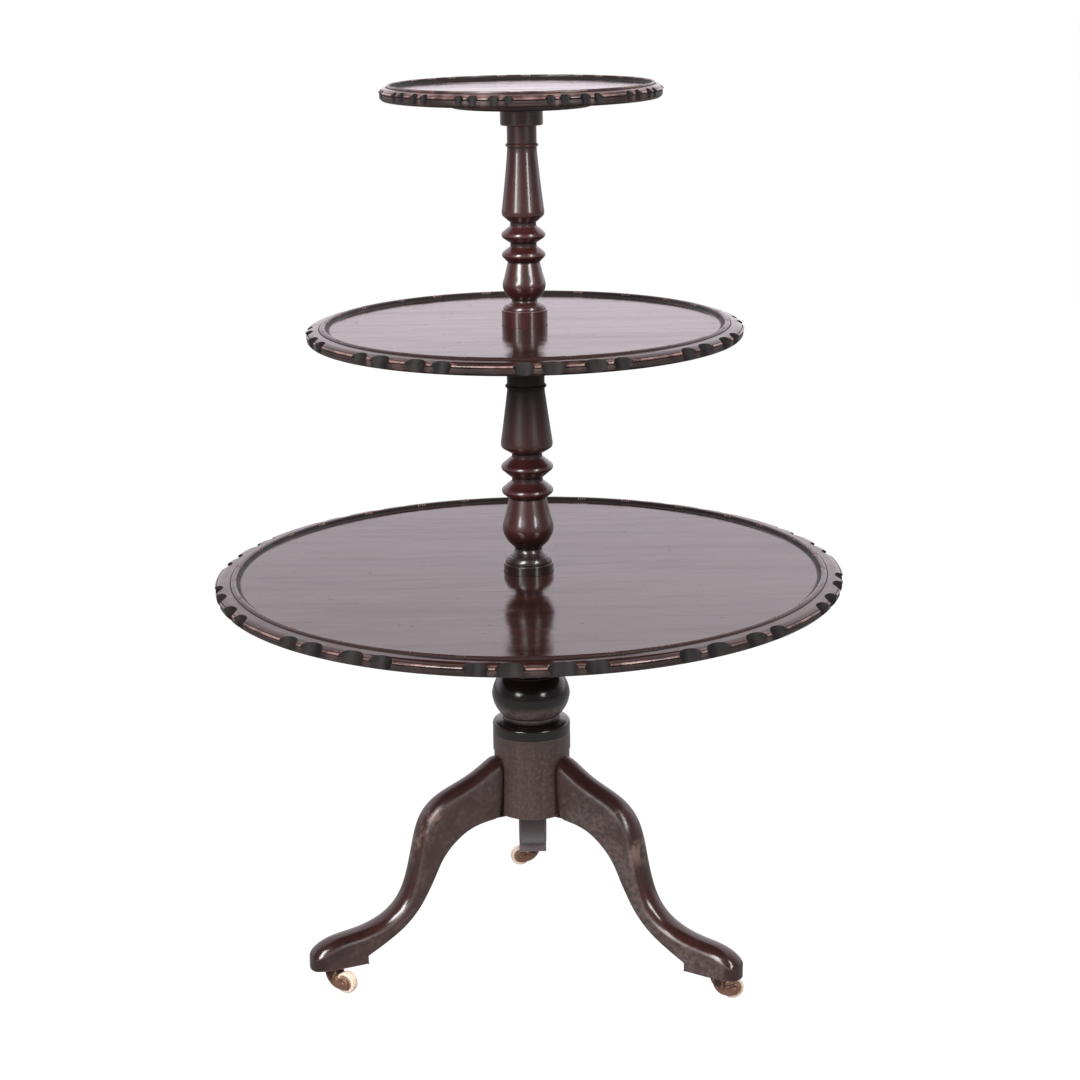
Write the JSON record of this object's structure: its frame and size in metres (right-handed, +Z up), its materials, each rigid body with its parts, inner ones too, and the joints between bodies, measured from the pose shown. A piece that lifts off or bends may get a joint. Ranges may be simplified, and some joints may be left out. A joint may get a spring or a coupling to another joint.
{
  "type": "tiered side table",
  "caption": "Round tiered table with carved piecrust trays that revolve on a turned column over a cabriole tripod base with small castors",
  "frame": {"origin": "on the floor under the axis of the column", "axes": "+Z up along the column; -Y is the front, between the left and right legs; +X is to the right seen from the front"},
  "size_m": [0.642, 0.642, 0.9139],
  "materials": {
    "tray_mahogany": "french polished, very dark red-brown, glossy",
    "column_mahogany": "french polished, dark red-brown, glossy",
    "leg_mahogany": "old polish, dark brown, semi-gloss, rubbed at the edges",
    "bearer_mahogany": "waxed, dark brown, satin",
    "castor_brass": "aged, brown patina rubbed bright at the edges",
    "wheel_ceramic": "glazed cream ceramic, lightly crazed",
    "pivot_steel": "dull, darkened",
    "brace_iron": "blackened wrought iron",
    "screw_steel": "dull, darkened"
  },
  "bodies": {
    "base": {"pedestal_block": "column_mahogany", "pedestal_turning": "column_mahogany", "lower_column": "column_mahogany", "upper_column": "column_mahogany", "brace_plate": "brace_iron", "brace_screws": "screw_steel", "castor_plate_screws": "screw_steel", "leg_left": "leg_mahogany", "castor_plate_left": "castor_brass", "castor_pivot_left": "pivot_steel", "leg_right": "leg_mahogany", "castor_plate_right": "castor_brass", "castor_pivot_right": "pivot_steel", "leg_rear": "leg_mahogany", "castor_plate_rear": "castor_brass", "castor_pivot_rear": "pivot_steel"},
    "lower_tier": {"lower_tray": "tray_mahogany", "lower_bearer": "bearer_mahogany", "lower_bearer_screws": "screw_steel"},
    "middle_tier": {"middle_tray": "tray_mahogany", "middle_bearer": "bearer_mahogany", "middle_bearer_screws": "screw_steel"},
    "upper_tier": {"upper_tray": "tray_mahogany", "upper_bearer": "bearer_mahogany", "upper_bearer_screws": "screw_steel"},
    "castor_swivel_left": {"castor_horns_left": "castor_brass", "castor_axle_left": "castor_brass"},
    "castor_roller_left": {"castor_wheel_left": "wheel_ceramic"},
    "castor_swivel_right": {"castor_horns_right": "castor_brass", "castor_axle_right": "castor_brass"},
    "castor_roller_right": {"castor_wheel_right": "wheel_ceramic"},
    "castor_swivel_rear": {"castor_horns_rear": "castor_brass", "castor_axle_rear": "castor_brass"},
    "castor_roller_rear": {"castor_wheel_rear": "wheel_ceramic"}
  },
  "joints": [
    {"name": "lower_tier_turn", "type": "hinge", "parent": "base", "child": "lower_tier", "pos_m": [0, 0, 0.403], "axis": [0, 0, 1], "continuous": true},
    {"name": "middle_tier_turn", "type": "hinge", "parent": "base", "child": "middle_tier", "pos_m": [0, 0, 0.659], "axis": [0, 0, 1], "continuous": true},
    {"name": "upper_tier_turn", "type": "hinge", "parent": "base", "child": "upper_tier", "pos_m": [0, 0, 0.8945], "axis": [0, 0, 1], "continuous": true},
    {"name": "castor_swivel_turn_left", "type": "hinge", "parent": "base", "child": "castor_swivel_left", "pos_m": [-0.20664, -0.09636, 0.023], "axis": [0, 0, 1], "continuous": true},
    {"name": "castor_swivel_turn_right", "type": "hinge", "parent": "base", "child": "castor_swivel_right", "pos_m": [0.18677, -0.13078, 0.023], "axis": [0, 0, 1], "continuous": true},
    {"name": "castor_swivel_turn_rear", "type": "hinge", "parent": "base", "child": "castor_swivel_rear", "pos_m": [-0.00199, 0.22799, 0.023], "axis": [0, 0, 1], "continuous": true},
    {"name": "castor_roll_left", "type": "hinge", "parent": "castor_swivel_left", "child": "castor_roller_left", "pos_m": [-0.19406, -0.10453, 0.0115], "axis": [0.5446, 0.8387, 0], "continuous": true},
    {"name": "castor_roll_right", "type": "hinge", "parent": "castor_swivel_right", "child": "castor_roller_right", "pos_m": [0.20162, -0.12869, 0.0115], "axis": [-0.1392, 0.9903, 0], "continuous": true},
    {"name": "castor_roll_rear", "type": "hinge", "parent": "castor_swivel_rear", "child": "castor_roller_rear", "pos_m": [-0.01654, 0.22436, 0.0115], "axis": [0.2419, -0.9703, 0], "continuous": true}
  ]
}
